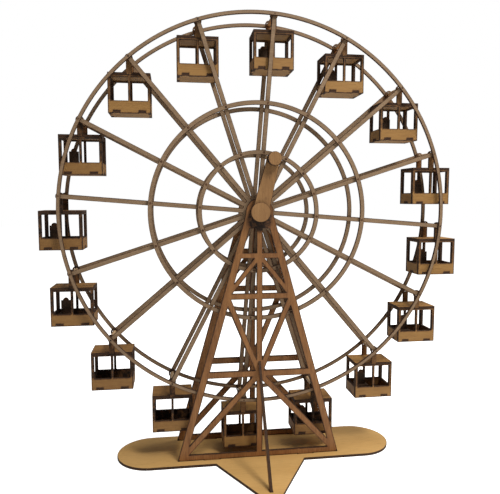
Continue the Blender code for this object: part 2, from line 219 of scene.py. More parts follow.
def rim_edges(faces: np.ndarray, count: int) -> np.ndarray:
    """Find where a flat grid ends: each face's edges, less those that run back along another face.

    Args:
        faces: Corners of flat faces, turned to the left.
        count: The number of points.

    Returns:
        Rows of two points, with the wood on the left.
    """
    quads = faces[faces[:, 3] != NO_CORNER]
    threes = faces[faces[:, 3] == NO_CORNER][:, :3]
    runs = [np.stack([quads[:, k], quads[:, (k + 1) % 4]], axis=1) for k in range(4)]
    runs += [np.stack([threes[:, k], threes[:, (k + 1) % 3]], axis=1) for k in range(3)]
    edges = np.concatenate(runs)
    forth = edges[:, 0] * count + edges[:, 1]
    back = edges[:, 1] * count + edges[:, 0]
    return edges[~np.isin(forth, back)]


def thicken(flat: np.ndarray, faces: np.ndarray, burn: np.ndarray, low: float, high: float, axis: Axis) -> Surface:
    """Make a flat grid a sheet: the grid at two heights, joined by walls along its rim.

    Args:
        flat: Points in the sheet's plane.
        faces: Their faces, turned to the left.
        burn: The burn mark of each point.
        low: The lower face's height.
        high: The upper face's height.
        axis: The direction of the thickness.

    Returns:
        The closed sheet.
    """
    used, renamed = np.unique(faces[faces != NO_CORNER], return_inverse=True)
    top = np.full(faces.shape, NO_CORNER)
    top[faces != NO_CORNER] = renamed.ravel()
    flat, burn = flat[used], burn[used]
    count = len(flat)
    bottom = np.where(top == NO_CORNER, NO_CORNER, top + count)
    bottom[:, [0, 2]] = bottom[:, [2, 0]]
    start, end = rim_edges(top, count).T
    walls = np.stack([start, start + count, end + count, end], axis=1)
    points = np.zeros((2 * count, 3))
    u, v = axis.plane
    points[:, u] = np.tile(flat[:, 0], 2)
    points[:, v] = np.tile(flat[:, 1], 2)
    points[:, axis.value] = np.repeat([high, low], count)
    ply = np.repeat([FACE_PLY, -FACE_PLY], count)
    return Surface(points, np.concatenate([top, bottom, walls]), np.tile(burn, 2), ply)


def distance_to_edges(points: np.ndarray, starts: np.ndarray, ends: np.ndarray) -> np.ndarray:
    """Measure how far each point lies from the nearest of many edges.

    Each point is dropped onto each edge's line, kept between the edge's ends, and the shortest way wins.

    Args:
        points: The flat points.
        starts: Where the edges start.
        ends: Where they end.

    Returns:
        The distance of each point.
    """
    run = ends - starts
    square = np.maximum(np.einsum("ij,ij->i", run, run), LEAST_SQUARE)
    shift = points[:, None, :] - starts[None, :, :]
    share = np.clip(np.einsum("pej,ej->pe", shift, run) / square, 0.0, 1.0)
    rest = shift - share[:, :, None] * run[None, :, :]
    return np.sqrt(np.einsum("pej,pej->pe", rest, rest).min(axis=1))


def inside_edges(points: np.ndarray, starts: np.ndarray, ends: np.ndarray) -> np.ndarray:
    """Tell which points lie in the wood: a ray to the right leaves the outline an odd number of times.

    Args:
        points: The flat points.
        starts: Where the outline's edges start.
        ends: Where they end.

    Returns:
        A mark for each point.
    """
    x, y = points[:, :1], points[:, 1:]
    spans = (starts[:, 1] > y) != (ends[:, 1] > y)
    rise = ends[:, 1] - starts[:, 1]
    rise = np.where(rise == 0.0, LEAST_RISE, rise)
    meets = starts[:, 0] + (y - starts[:, 1]) * (ends[:, 0] - starts[:, 0]) / rise
    return (spans & (x < meets)).sum(axis=1) % 2 == 1


def sheet_outline(node: str, axis: Axis) -> tuple[np.ndarray, np.ndarray, float, float]:
    """Read the outline of a flat node from its upper face.

    Args:
        node: The node's name.
        axis: The direction of its thickness.

    Returns:
        The starts and ends of the outline's edges with the wood on their left, and both faces' heights.
    """
    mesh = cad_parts[node].data
    mesh.calc_loop_triangles()
    places = np.empty(len(mesh.vertices) * 3)
    mesh.vertices.foreach_get("co", places)
    corners = np.empty(len(mesh.loop_triangles) * 3, dtype=np.int32)
    mesh.loop_triangles.foreach_get("vertices", corners)
    triangles = places.reshape(-1, 3)[corners].reshape(-1, 3, 3)
    heights = triangles[:, :, axis.value]
    low, high = float(heights.min()), float(heights.max())
    face = triangles[(heights > high - SAME_HEIGHT).all(axis=1)]
    flat = np.round(face[:, :, list(axis.plane)], DECIMALS).reshape(-1, 2)
    points, names = np.unique(flat, axis=0, return_inverse=True)
    threes = np.concatenate([names.reshape(-1, 3), np.full((len(face), 1), NO_CORNER)], axis=1)
    rim = rim_edges(threes, len(points))
    return points[rim[:, 0]], points[rim[:, 1]], low, high


def short_edges(starts: np.ndarray, ends: np.ndarray, step: float) -> tuple[np.ndarray, np.ndarray]:
    """Split each edge evenly into edges no longer than a step.

    Args:
        starts: Where the edges start.
        ends: Where they end.
        step: The longest edge.

    Returns:
        The starts and ends of the short edges.
    """
    run = ends - starts
    parts = np.maximum(1, np.ceil(np.linalg.norm(run, axis=1) / step).astype(int))
    owner = np.repeat(np.arange(len(parts)), parts)
    place = np.arange(len(owner)) - np.repeat(np.cumsum(parts) - parts, parts)
    here = starts[owner] + run[owner] * (place / parts[owner])[:, None]
    there = starts[owner] + run[owner] * ((place + 1) / parts[owner])[:, None]
    return here, there


def cut_sheet(node: str, axis: Axis, halo: float, step: float, layers: int = 1) -> list[Surface]:
    """Cut a flat node's outline anew, with burn marks that fade away from every cut.

    The outline is split into short edges. A row of points one halo inside it and round each of its corners
    carries no burn, and a triangulation joins both, so that the mark falls evenly from the cut to the row.

    Args:
        node: The flat node whose outline is followed.
        axis: The direction of its thickness.
        halo: The width of the burn mark.
        step: The longest edge.
        layers: The number of sheets that share the thickness.

    Returns:
        A closed sheet for each layer.
    """
    starts, ends, low, high = sheet_outline(node, axis)
    here, there = short_edges(starts, ends, step)
    corners, names = np.unique(np.round(np.concatenate([here, there]), DECIMALS), axis=0, return_inverse=True)
    links = names.reshape(2, -1).T
    along = there - here
    left = np.stack([-along[:, 1], along[:, 0]], axis=1) / np.linalg.norm(along, axis=1)[:, None]
    angles = np.linspace(0.0, 2 * np.pi, CORNER_POINTS, endpoint=False)
    ring = starts[:, None, :] + halo * np.stack([np.cos(angles), np.sin(angles)], axis=1)
    row = np.concatenate([(here + there) / 2 + left * halo, ring.reshape(-1, 2)])
    row = row[(distance_to_edges(row, starts, ends) > CLEAR_SHARE * halo) & inside_edges(row, starts, ends)]
    seeds = np.concatenate([corners, row])
    verts, _, faces, *_ = delaunay_2d_cdt([Vector(p) for p in seeds], links.tolist(), [], 0, LEAST_GAP)
    flat = np.array([tuple(v) for v in verts])
    threes = np.array(faces, dtype=int)
    a, b, c = flat[threes[:, 0]], flat[threes[:, 1]], flat[threes[:, 2]]
    area = ((b[:, 0] - a[:, 0]) * (c[:, 1] - a[:, 1]) - (b[:, 1] - a[:, 1]) * (c[:, 0] - a[:, 0])) / 2
    threes[area < 0.0] = threes[area < 0.0][:, ::-1]
    kept = threes[inside_edges((a + b + c) / 3, starts, ends) & (np.abs(area) > LEAST_AREA)]
    kept = np.concatenate([kept, np.full((len(kept), 1), NO_CORNER)], axis=1)
    burn = np.clip(1.0 - distance_to_edges(flat, starts, ends) / halo, 0.0, 1.0)
    levels = np.linspace(low, high, layers + 1)
    return [thicken(flat, kept, burn, float(foot), float(top), axis) for foot, top in zip(levels[:-1], levels[1:])]


def in_boxes(u: np.ndarray, v: np.ndarray, boxes: list[Box]) -> np.ndarray:
    """Tell which points of a grid lie in any of some flat boxes, each given as its ends along u and v."""
    hits = [(u > b[0]) & (u < b[1]) & (v > b[2]) & (v < b[3]) for b in boxes]
    return np.any(hits, axis=0) if hits else np.zeros(np.broadcast(u, v).shape, dtype=bool)


def panel(wood: list[Box], cuts: list[Box], low: float, high: float, axis: Axis, halo: float) -> Surface:
    """Cut a panel with square corners from a grid of its edge lines.

    Grid lines run along every edge and one halo inside it. A cell is wood where a wood box holds it and
    no cut does, and a point is burnt where wood and air cells meet.

    Args:
        wood: Boxes of wood as their ends along both directions of the plane.
        cuts: Boxes that are cut away.
        low: The lower face's height.
        high: The upper face's height.
        axis: The direction of the thickness.
        halo: The width of the burn mark.

    Returns:
        The closed panel.
    """
    lines = []
    for first in (0, 2):
        edges = np.unique(np.round([b[first + k] for b in wood + cuts for k in (0, 1)], DECIMALS))
        inset = np.minimum(halo, np.diff(edges) / 2)
        grid = np.concatenate([edges, edges[:-1] + inset, edges[1:] - inset])
        lines.append(np.unique(np.round(grid, DECIMALS)))
    us, vs = lines
    mid_u = ((us[:-1] + us[1:]) / 2)[:, None]
    mid_v = ((vs[:-1] + vs[1:]) / 2)[None, :]
    solid = in_boxes(mid_u, mid_v, wood) & ~in_boxes(mid_u, mid_v, cuts)
    wide = np.pad(solid, 1)
    around = np.stack([wide[:-1, :-1], wide[1:, :-1], wide[:-1, 1:], wide[1:, 1:]])
    burn = (around.any(axis=0) & ~around.all(axis=0)).astype(float).ravel()
    i, j = np.nonzero(solid)
    across = len(vs)
    corner = i * across + j
    faces = np.stack([corner, corner + across, corner + across + 1, corner + 1], axis=1)
    flat = np.stack(np.meshgrid(us, vs, indexing="ij"), axis=-1).reshape(-1, 2)
    return thicken(flat, faces, burn, low, high, axis)


def band(
    inner: np.ndarray, outer: np.ndarray, centre: Pair, low: float, high: float, axis: Axis, halo: float
) -> Surface:
    """Cut a flat band round a centre: a grid of angle by radius with rows at both cuts and a halo inside.

    Args:
        inner: The inner radius at each of many even angles.
        outer: The outer radius at the same angles.
        centre: The middle in the sheet's plane.
        low: The lower face's height.
        high: The upper face's height.
        axis: The direction of the thickness.
        halo: The width of the burn mark.

    Returns:
        The closed band.
    """
    count = len(inner)
    angles = np.linspace(0.0, 2 * np.pi, count, endpoint=False)
    inset = np.minimum(halo, (outer - inner) / BAND_PARTS)
    radii = np.stack([outer, outer - inset, inner + inset, inner])
    flat = np.stack([centre[0] + radii * np.cos(angles), centre[1] + radii * np.sin(angles)], axis=-1)
    row, column = np.meshgrid(np.arange(len(radii) - 1), np.arange(count), indexing="ij")
    here = (row * count + column).ravel()
    there = (row * count + (column + 1) % count).ravel()
    faces = np.stack([here, there, there + count, here + count], axis=1)
    burn = np.repeat([1.0, 0.0, 0.0, 1.0], count)
    return thicken(flat.reshape(-1, 2), faces, burn, low, high, axis)


def turned(profile: np.ndarray, sides: int, centre: Triple, axis: Axis) -> Surface:
    """Turn a profile round an axis: its radius at each height, carried round a circle and closed at both ends.

    Args:
        profile: Rows of radius, height and burn, without the two end points on the axis.
        sides: The number of steps round the circle.
        centre: The middle of the circle.
        axis: The axis of the turning.

    Returns:
        The closed surface.
    """
    radii, heights, burn = profile.T
    rows = len(radii)
    angles = np.linspace(0.0, 2 * np.pi, sides, endpoint=False)
    u, v = axis.plane
    points = np.zeros((rows * sides + 2, 3))
    points[:-2, u] = np.outer(radii, np.cos(angles)).ravel()
    points[:-2, v] = np.outer(radii, np.sin(angles)).ravel()
    points[:-2, axis.value] = np.repeat(heights, sides)
    points[-2:, axis.value] = heights[[0, -1]]
    row, column = np.meshgrid(np.arange(rows - 1), np.arange(sides), indexing="ij")
    here = (row * sides + column).ravel()
    there = (row * sides + (column + 1) % sides).ravel()
    walls = np.stack([here, there, there + sides, here + sides], axis=1)
    steps = np.arange(sides)
    beside = (steps + 1) % sides
    last = (rows - 1) * sides
    none = np.full(sides, NO_CORNER)
    lid = np.stack([beside, steps, np.full(sides, rows * sides), none], axis=1)
    end = np.stack([last + steps, last + beside, np.full(sides, rows * sides + 1), none], axis=1)
    marks = np.concatenate([np.repeat(burn, sides), burn[[0, -1]]])
    ply = np.full(len(points), FACE_PLY)
    return Surface(points + np.array(centre), np.concatenate([walls, lid, end]), marks, ply).outward()


def shouldered_profile(thick: float, thin: float, shoulder: float, reach: float, ease: float) -> np.ndarray:
    """Return the profile of a rod with a thin pin at each end: one half worked out, and its mirror image.

    Args:
        thick: The rod's radius between its shoulders.
        thin: The radius of its pins.
        shoulder: Where the shoulders lie, from the middle.
        reach: Where the pins end, from the middle.
        ease: The radius of the rounded edges.

    Returns:
        Rows of radius, height and burn, with burnt pins and a clean middle.
    """
    bend = np.linspace(0.0, np.pi / 2, BEND_POINTS)
    turn_r, turn_h = ease * np.sin(bend) - ease, ease * np.cos(bend) - ease
    tip = np.stack([thin + turn_r, reach + turn_h, np.full(BEND_POINTS, PIN_BURN)], axis=1)
    fade = np.linspace(SHOULDER_BURN, 0.0, BEND_POINTS)
    edge = np.stack([thick + turn_r, shoulder + turn_h, fade], axis=1)
    half = np.concatenate([[[thin * PIN_CORE, reach, PIN_BURN]], tip, [[thin, shoulder, PIN_BURN]], edge])
    mirror = np.array([1.0, -1.0, 1.0])
    return np.concatenate([half, half[::-1] * mirror])


def rod_profile(radius: float, low: float, high: float, ease: float, end_burn: float, side_burn: float) -> np.ndarray:
    """Return a rod's profile: flat ends, a rounded edge at each, and a straight side.

    Args:
        radius: The rod's radius.
        low: Where it begins along its axis.
        high: Where it ends.
        ease: The radius of the rounded edges.
        end_burn: The burn mark on the ends.
        side_burn: The burn mark on the side.

    Returns:
        Rows of radius, height and burn.
    """
    bend = np.linspace(0.0, np.pi / 2, BEND_POINTS)
    round_r = radius - ease + ease * np.sin(bend)
    round_h = ease - ease * np.cos(bend)
    fade = np.linspace(end_burn, side_burn, BEND_POINTS)
    start = np.stack([round_r, low + round_h, fade], axis=1)
    finish = np.stack([round_r[::-1], high - round_h[::-1], fade[::-1]], axis=1)
    core = (radius - ease) * END_CORE
    return np.concatenate([[[core, low, end_burn]], start, finish, [[core, high, end_burn]]])


# Materials

@dataclass(frozen=True)
class Noise:
    """A noise pattern by its scale, detail and roughness, and the stretch that its vector gets first."""

    scale: float
    detail: float
    roughness: float
    stretch: Triple | None = None


def opaque(color: object) -> object:
    """Return a colour with its alpha, and a socket as it is."""
    return color if isinstance(color, Socket) else (*color, 1.0)


class Tree:
    """A node tree that nodes are added to by name."""

    def __init__(self, tree: bpy.types.NodeTree) -> None:
        """Keep the tree."""
        self.tree = tree

    def feed(self, node: bpy.types.Node, inputs: dict[str | int, object]) -> None:
        """Link sockets to a node's inputs, and set its other inputs to values.

        Args:
            node: The node.
            inputs: Sockets or values for its inputs, by name or number.
        """
        for label, value in inputs.items():
            if isinstance(value, Socket):
                self.tree.links.new(value, node.inputs[label])
            else:
                node.inputs[label].default_value = value

    def add(self, kind: str, inputs: dict[str | int, object] | None = None, **settings: object) -> bpy.types.Node:
        """Add a node.

        Args:
            kind: The node's type, without the ShaderNode in front.
            inputs: Sockets or values for its inputs, by name or number.
            **settings: The node's own settings.

        Returns:
            The node.
        """
        node = self.tree.nodes.new("ShaderNode" + kind)
        for label, value in settings.items():
            setattr(node, label, value)
        self.feed(node, inputs or {})
        return node

    def mix(self, share: object, first: object, second: object) -> Socket:
        """Return the mix of two colours, which the node takes at inputs 6 and 7 and gives at output 2."""
        inputs = {0: share, 6: opaque(first), 7: opaque(second)}
        return self.add("Mix", inputs, data_type="RGBA").outputs[2]

    def math(self, operation: str, *values: object) -> Socket:
        """Return the outcome of a sum on values or sockets."""
        return self.add("Math", dict(enumerate(values)), operation=operation).outputs[0]

    def plus(self, first: object, second: object) -> Socket:
        """Return the first value and the second together."""
        return self.math("ADD", first, second)

    def less(self, first: object, second: object) -> Socket:
        """Return the first value less the second."""
        return self.math("SUBTRACT", first, second)

    def times(self, first: object, second: object) -> Socket:
        """Return the first value times the second."""
        return self.math("MULTIPLY", first, second)

    def step(self, value: object, ends: Range) -> Socket:
        """Return a value eased from between the first two ends to between the last two."""
        return self.add("MapRange", dict(enumerate((value, *ends))), interpolation_type="SMOOTHSTEP").outputs[0]

    def stretch(self, vector: Socket, scale: Triple) -> Socket:
        """Return a vector scaled along each direction."""
        return self.add("Mapping", {"Vector": vector, "Scale": scale}).outputs[0]

    def noise(self, vector: Socket, noise: Noise) -> Socket:
        """Return a noise pattern over a vector.

        Args:
            vector: The vector.
            noise: The pattern.

        Returns:
            Its value.
        """
        place = self.stretch(vector, noise.stretch) if noise.stretch else vector
        inputs = {"Vector": place, "Scale": noise.scale, "Detail": noise.detail, "Roughness": noise.roughness}
        return self.add("TexNoise", inputs).outputs[0]

    def for_camera(self, light: Socket, seen: Socket) -> Socket:
        """Return a shader that is one thing to the light and another to the camera."""
        camera = self.add("LightPath").outputs["Is Camera Ray"]
        return self.add("MixShader", {0: camera, 1: light, 2: seen}).outputs[0]


def new_group(
    name: str, inputs: dict[str, str], outputs: dict[str, str]
) -> tuple[Tree, dict[str, Socket], bpy.types.Node]:
    """Start a shader node group.

    Args:
        name: The group's name.
        inputs: The socket type of each input.
        outputs: The socket type of each output.

    Returns:
        The group's tree, its input sockets by name and its output node.
    """
    group = bpy.data.node_groups.new(name, "ShaderNodeTree")
    for way, sockets in (("INPUT", inputs), ("OUTPUT", outputs)):
        for label, kind in sockets.items():
            group.interface.new_socket(label, in_out=way, socket_type="NodeSocket" + kind)
    start = group.nodes.new("NodeGroupInput")
    finish = group.nodes.new("NodeGroupOutput")
    return Tree(group), {label: start.outputs[label] for label in inputs}, finish


@dataclass(frozen=True)
class WoodGrain:
    """The grain group: fibres, growth bands, pores and broad patches over a stretched vector.

    A range holds the two values that a pattern is eased between, and the two that they become.
    """

    fibres: Noise = Noise(1.0, 5.0, 0.62)
    fibre_range: Range = (0.32, 0.72, 0.0, 0.6)
    fine: Noise = Noise(3.4, 3.0, 0.7)
    fine_range: Range = (0.3, 0.8, -0.08, 0.2)
    fine_lift: float = 0.4
    bands: Noise = Noise(1.0, 3.0, 0.45, (0.2, 0.2, 0.2))
    band_turns: float = 46.0
    band_share: float = 0.09
    patches: Noise = Noise(1.0, 2.0, 0.5, (0.11, 0.04, 0.04))
    patch_range: Range = (0.3, 0.7, -0.1, 0.3)
    pores: Noise = Noise(1.0, 1.0, 0.4, (1.4, 3.2, 3.2))
    pore_range: Range = (0.64, 0.74, 0.0, 1.0)
    pore_color: Color = (0.10, 0.052, 0.025)
    pore_share: float = 0.35
    pore_sink: float = 0.5

    def build(self) -> bpy.types.NodeTree:
        """Build the group: the patterns add up to the share of the deep colour, and pores lie over it.

        Returns:
            The group.
        """
        tree, given, out = new_group(
            "wood_grain",
            {"Vector": "Vector", "Pale": "Color", "Deep": "Color", "Figure": "Float"},
            {"Color": "Color", "Height": "Float"},
        )
        vector = given["Vector"]
        fibres = tree.noise(vector, self.fibres)
        fine = tree.noise(vector, self.fine)
        bands = tree.math("SINE", tree.times(tree.noise(vector, self.bands), self.band_turns))
        patches = tree.noise(vector, self.patches)
        pores = tree.step(tree.noise(vector, self.pores), self.pore_range)
        share = tree.plus(tree.step(fibres, self.fibre_range), tree.times(bands, self.band_share))
        share = tree.times(tree.plus(share, tree.step(fine, self.fine_range)), given["Figure"])
        share = tree.plus(share, tree.step(patches, self.patch_range))
        share = tree.math("MINIMUM", tree.math("MAXIMUM", share, 0.0), 1.0)
        color = tree.mix(share, given["Pale"], given["Deep"])
        color = tree.mix(tree.times(pores, self.pore_share), color, self.pore_color)
        height = tree.less(tree.plus(fibres, tree.times(fine, self.fine_lift)), tree.times(pores, self.pore_sink))
        tree.feed(out, {"Color": color, "Height": height})
        return tree.tree


@dataclass(frozen=True)
class LaserBurn:
    """The burn group: toast and soot that fade from a cut, and charred plies on the cut itself.

    Ranges are as in WoodGrain. The plies are told apart by their depth: 0 in the middle of the sheet and
    FACE_PLY on its faces.
    """

    ragged: Noise = Noise(900.0, 3.0, 0.6)
    ragged_share: float = 0.9
    smoke: Noise = Noise(160.0, 2.0, 0.5)
    smoke_share: float = 1.1
    toast_range: Range = (0.0, 0.75, 0.0, 0.85)
    soot_range: Range = (0.62, 1.0, 0.0, 1.0)
    wall_range: Range = (0.46, 0.495, 0.0, 1.0)
    core_range: Range = (0.14, 0.2, 0.0, 1.0)
    core_share: float = 0.45
    glue_depth: float = 0.17
    glue_range: Range = (0.015, 0.05, 0.0, 1.0)
    glue_color: Color = (0.012, 0.008, 0.006)
    glue_share: float = 0.75
    glue_sink: float = 0.6
    scorch: Noise = Noise(420.0, 4.0, 0.6)
    scorch_range: Range = (0.3, 0.75, 0.0, 1.0)
    scorch_share: float = 0.5
    char_range: Range = (0.5, 1.0, 0.0, 1.0)
    char_sink: float = 0.35
    dull_range: Range = (0.2, 1.0, 0.0, 0.22)
    dull_share: float = 0.1

    def build(self) -> bpy.types.NodeTree:
        """Build the group: faces take toast, then soot, and walls take plies, glue lines and scorch marks.

        Returns:
            The group.
        """
        tree, given, out = new_group(
            "laser_burn",
            {"Color": "Color", "Height": "Float", "Vector": "Vector", "Burn": "Float", "Ply": "Float",
             "Toast": "Color", "Soot": "Color", "Face Roughness": "Float"},
            {"Color": "Color", "Height": "Float", "Roughness": "Float"},
        )
        vector, toast, soot = given["Vector"], given["Toast"], given["Soot"]
        ragged = tree.noise(vector, self.ragged)
        smoke = tree.noise(vector, self.smoke)
        uneven = tree.plus(tree.times(ragged, self.ragged_share), tree.times(smoke, self.smoke_share))
        reach = tree.times(given["Burn"], uneven)
        faces = tree.mix(tree.step(reach, self.toast_range), given["Color"], toast)
        faces = tree.mix(tree.step(reach, self.soot_range), faces, soot)
        depth = tree.math("ABSOLUTE", given["Ply"])
        wall = tree.less(1.0, tree.step(depth, self.wall_range))
        core = tree.less(1.0, tree.step(depth, self.core_range))
        from_glue = tree.math("ABSOLUTE", tree.less(depth, self.glue_depth))
        glue = tree.less(1.0, tree.step(from_glue, self.glue_range))
        scorch = tree.step(tree.noise(vector, self.scorch), self.scorch_range)
        plies = tree.mix(tree.times(core, self.core_share), soot, toast)
        plies = tree.mix(tree.times(scorch, self.scorch_share), plies, toast)
        plies = tree.mix(tree.times(glue, self.glue_share), plies, self.glue_color)
        lift = tree.less(given["Height"], tree.times(tree.step(reach, self.char_range), self.char_sink))
        lift = tree.less(lift, tree.times(tree.times(glue, wall), self.glue_sink))
        dull = tree.plus(given["Face Roughness"], tree.step(reach, self.dull_range))
        dull = tree.plus(dull, tree.times(ragged, self.dull_share))
        tree.feed(out, {"Color": tree.mix(wall, faces, plies), "Height": lift, "Roughness": dull})
        return tree.tree


@dataclass(frozen=True)
class WoodFinish:
    """A wood with its grain, burn marks and sheen, and a painted shadow round a point where it has one."""

    name: str
    pale: Color
    deep: Color
    fibres: Axis
    figure: float
    roughness: float
    along: float = 45.0
    across: float = 700.0
    bump: float = 0.12
    bump_height: float = 0.4 * MM
    specular: float = 0.35
    toast: Color = (0.115, 0.048, 0.018)
    soot: Color = (0.020, 0.011, 0.007)
    painted_shade: Triple | None = None
    shade_core: float = 12.0 * MM
    smoke_edge: float = 20.0 * MM
    smoke_burn: float = 0.95

    def burnt(self, tree: Tree, place: Socket) -> Socket:
        """Return the burn mark of each point, raised by a painted shadow round an axis along Y where the finish has
        one.

        Args:
            tree: The material's tree.
            place: Each point's place on the object.

        Returns:
            The mark.
        """
        mark = tree.add("Attribute", attribute_name="burn").outputs["Fac"]
        if self.painted_shade is None:
            return mark
        # Painted shadow of the axle cap and crank on the tower heads: darkest near the axis, fading out between the
        # two radii.
        flat = tree.stretch(place, (1.0, 0.0, 1.0))
        away = tree.add("VectorMath", {0: flat, 1: self.painted_shade}, operation="DISTANCE").outputs["Value"]
        return tree.math("MAXIMUM", mark, tree.step(away, (self.shade_core, self.smoke_edge, self.smoke_burn, 0.0)))

    def material(self, grain: bpy.types.NodeTree, burn: bpy.types.NodeTree) -> bpy.types.Material:
        """Build the material from the shared groups.

        Args:
            grain: The grain group.
            burn: The burn group.

        Returns:
            The material.
        """
        made = bpy.data.materials.new(self.name)
        made.use_nodes = True
        tree = Tree(made.node_tree)
        place = tree.add("TexCoord").outputs["Object"]
        scale = [self.across] * 3
        scale[self.fibres.value] = self.along
        wood = tree.add("Group", node_tree=grain)
        tree.feed(wood, {
            "Vector": tree.stretch(place, tuple(scale)),
            "Pale": opaque(self.pale),
            "Deep": opaque(self.deep),
            "Figure": self.figure,
        })
        marks = tree.add("Group", node_tree=burn)
        tree.feed(marks, {
            "Vector": place,
            "Color": wood.outputs["Color"],
            "Height": wood.outputs["Height"],
            "Burn": self.burnt(tree, place),
            "Ply": tree.add("Attribute", attribute_name="ply").outputs["Fac"],
            "Toast": opaque(self.toast),
            "Soot": opaque(self.soot),
            "Face Roughness": self.roughness,
        })
        relief = {"Height": marks.outputs["Height"], "Strength": self.bump, "Distance": self.bump_height}
        tree.feed(made.node_tree.nodes["Principled BSDF"], {
            "Base Color": marks.outputs["Color"],
            "Roughness": marks.outputs["Roughness"],
            "Normal": tree.add("Bump", relief).outputs["Normal"],
            "Specular IOR Level": self.specular,
        })
        return made


class Finish(Enum):
    """The woods of the model."""

    BASE = WoodFinish("base_ply", (0.64, 0.395, 0.145), (0.51, 0.29, 0.09), Axis.X, figure=0.7, roughness=0.5)
    # The stand's finish paints a shadow round the axle cap on both tower heads.
    STAND = WoodFinish(
        "stand_ply", (0.355, 0.166, 0.057), (0.152, 0.059, 0.0195), Axis.Z,
        figure=0.9, roughness=0.5, painted_shade=(0.0, 0.0, 0.304),
    )
    WHEEL = WoodFinish("wheel_ply", (0.315, 0.21, 0.125), (0.20, 0.13, 0.075), Axis.X, figure=0.9, roughness=0.55)
    CABIN = WoodFinish("cabin_ply", (0.39, 0.213, 0.067), (0.265, 0.128, 0.037), Axis.X, figure=0.8, roughness=0.55)
    CRANK = WoodFinish("crank_ply", (0.38, 0.21, 0.085), (0.25, 0.125, 0.048), Axis.Z, figure=0.8, roughness=0.5)
    CHAIR = WoodFinish("chair_ply", (0.085, 0.045, 0.024), (0.045, 0.024, 0.014), Axis.X, figure=0.8, roughness=0.65)
    ROD = WoodFinish("rod_beech", (0.56, 0.40, 0.24), (0.42, 0.27, 0.14), Axis.Y, figure=0.7, roughness=0.42)


def add_object(name: str, data: bpy.types.ID) -> bpy.types.Object:
    """Add an object to the scene.

    Args:
        name: The object's name.
        data: Its mesh, light or camera.

    Returns:
        The object.
    """
    made = bpy.data.objects.new(name, data)
    bpy.context.scene.collection.objects.link(made)
    return made


class Workshop:
    """Holds the shared groups and hands out each finish once."""

    def __init__(self) -> None:
        """Build the groups."""
        self.grain = WoodGrain().build()
        self.burn = LaserBurn().build()
        self.made: dict[Finish, bpy.types.Material] = {}

    def finish(self, finish: Finish) -> bpy.types.Material:
        """Return a finish's material, built at its first use.

        Args:
            finish: The finish.

        Returns:
            Its material.
        """
        if finish not in self.made:
            self.made[finish] = finish.value.material(self.grain, self.burn)
        return self.made[finish]

    def piece(self, name: str, parts: list[tuple[Surface, Finish]], body: str, slot: str, nodes: list[str]) -> None:
        """Add a finished piece to the scene.

        Args:
            name: The piece's name.
            parts: Its surfaces, each with a finish.
            body: The body that it rides on.
            slot: The record's slot of its finish; not used.
            nodes: The nodes that it stands for.
        """
        mesh = Surface.joined([surface for surface, _ in parts]).mesh(name)
        finishes = list(dict.fromkeys(finish for _, finish in parts))
        for finish in finishes:
            mesh.materials.append(self.finish(finish))
        index = [np.full(len(surface.faces), finishes.index(finish)) for surface, finish in parts]
        mesh.polygons.foreach_set("material_index", np.concatenate(index).astype(np.int32))
        made = add_object(name, mesh)
        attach(made, body)
        if nodes:
            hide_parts(*nodes)
        LOG.info("%s: %d faces on %s", name, len(mesh.polygons), body)

    def stand_in(self, node: str, surfaces: list[Surface], finish: Finish, body: str, slot: str) -> None:
        """Add a piece of one finish that stands for one node, and is named for it.

        Args:
            node: The node.
            surfaces: The piece's surfaces.
            finish: Their finish.
            body: The body that it rides on.
            slot: The record's slot of its finish.
        """
        kind = "dowel" if finish is Finish.ROD else "ply"
        self.piece(f"{node}_{kind}", [(surface, finish) for surface in surfaces], body, slot, [node])


# Sub-assemblies

@dataclass
class Stand:
    """The base plate, both towers and the front strut."""

    shop: Workshop
    base_halo: float = 1.0 * MM
    tower_halo: float = 1.6 * MM
    step: float = 2.4 * MM

    def build(self) -> None:
        """Cut the stand's sheets."""
        base = cut_sheet("base_plate", Axis.Z, self.base_halo, self.step)
        self.shop.stand_in("base_plate", base, Finish.BASE, "stand", "base_wood")
        for side in Side:
            node = f"tower_{side.label}"
            tower = cut_sheet(node, Axis.Y, self.tower_halo, self.step)
            self.shop.stand_in(node, tower, Finish.STAND, "stand", "stand_wood")
        strut = cut_sheet("front_strut", Axis.X, self.tower_halo, self.step)
        self.shop.stand_in("front_strut", strut, Finish.STAND, "stand", "stand_wood")


@dataclass(frozen=True)
class Ring:
    """A ring of the wheel by its outer radius, its width and its steps round the circle."""

    name: str
    radius: float
    width: float
    sides: int

    @property
    def centre_line(self) -> float:
        """Return the radius halfway across the ring."""
        return self.radius - self.width / 2


